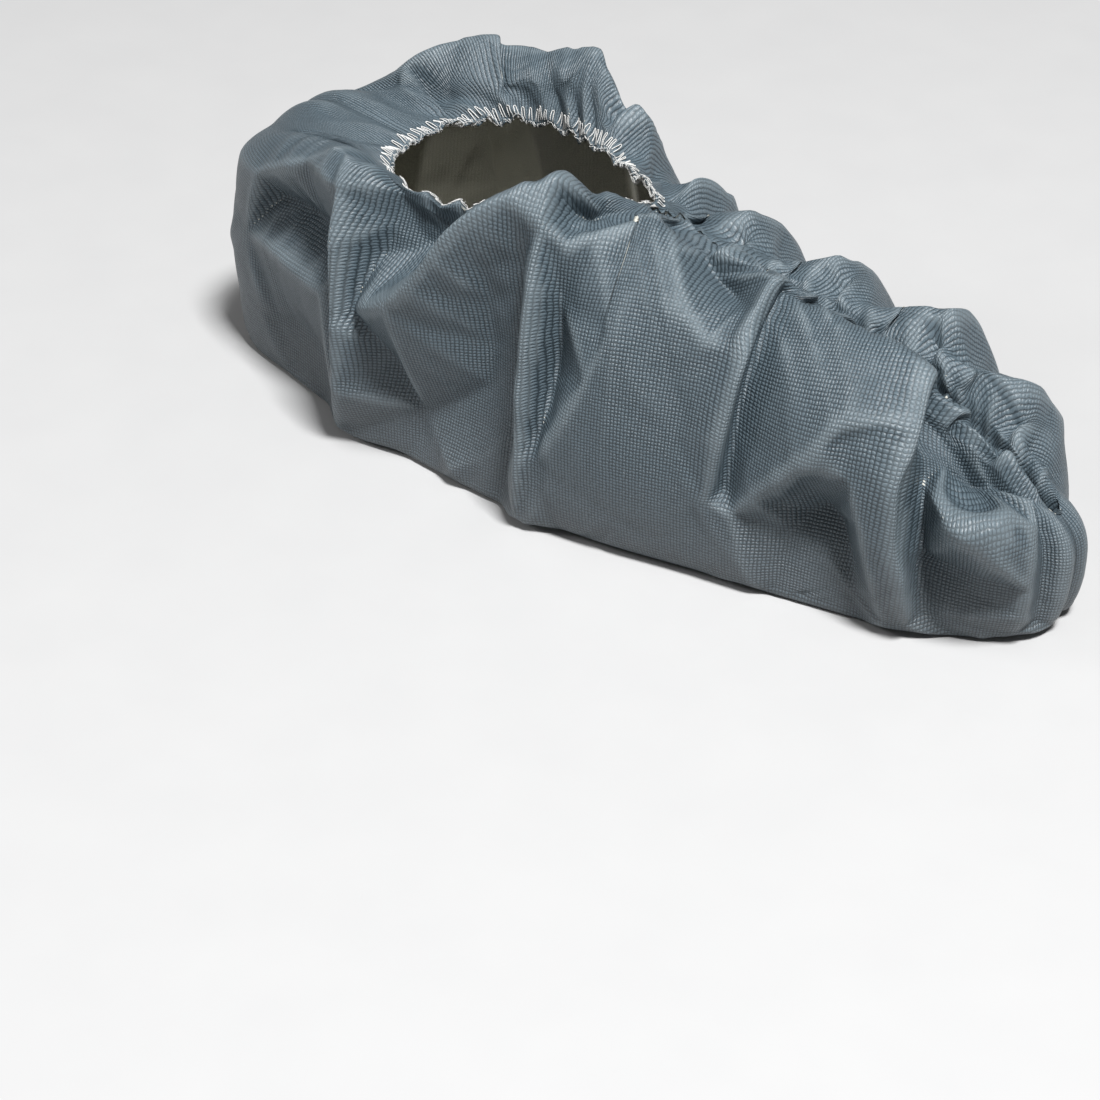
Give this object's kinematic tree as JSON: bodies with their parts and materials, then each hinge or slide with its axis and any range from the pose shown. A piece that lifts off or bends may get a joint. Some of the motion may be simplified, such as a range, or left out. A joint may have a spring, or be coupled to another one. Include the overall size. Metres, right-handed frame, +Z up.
{
  "type": "overshoe",
  "caption": "Low slip-over shoe cover of thin coated cloth, two half shells seamed along heel, sole and instep, with a gathered elastic ankle opening.",
  "frame": {"origin": "middle of the bounding box's base, on the floor that the sole lies on", "axes": "+X from heel to toe, +Z up, the wearer's left side at +Y"},
  "size_m": [0.3594, 0.1326, 0.1292],
  "materials": {
    "coated_cloth": "semi-matte slate blue coated nonwoven with a fine embossed grid",
    "elastic": "matte white elastic"
  },
  "bodies": {
    "root": {"right_panel": "coated_cloth", "left_panel": "coated_cloth", "opening_elastic": "elastic"}
  },
  "joints": []
}
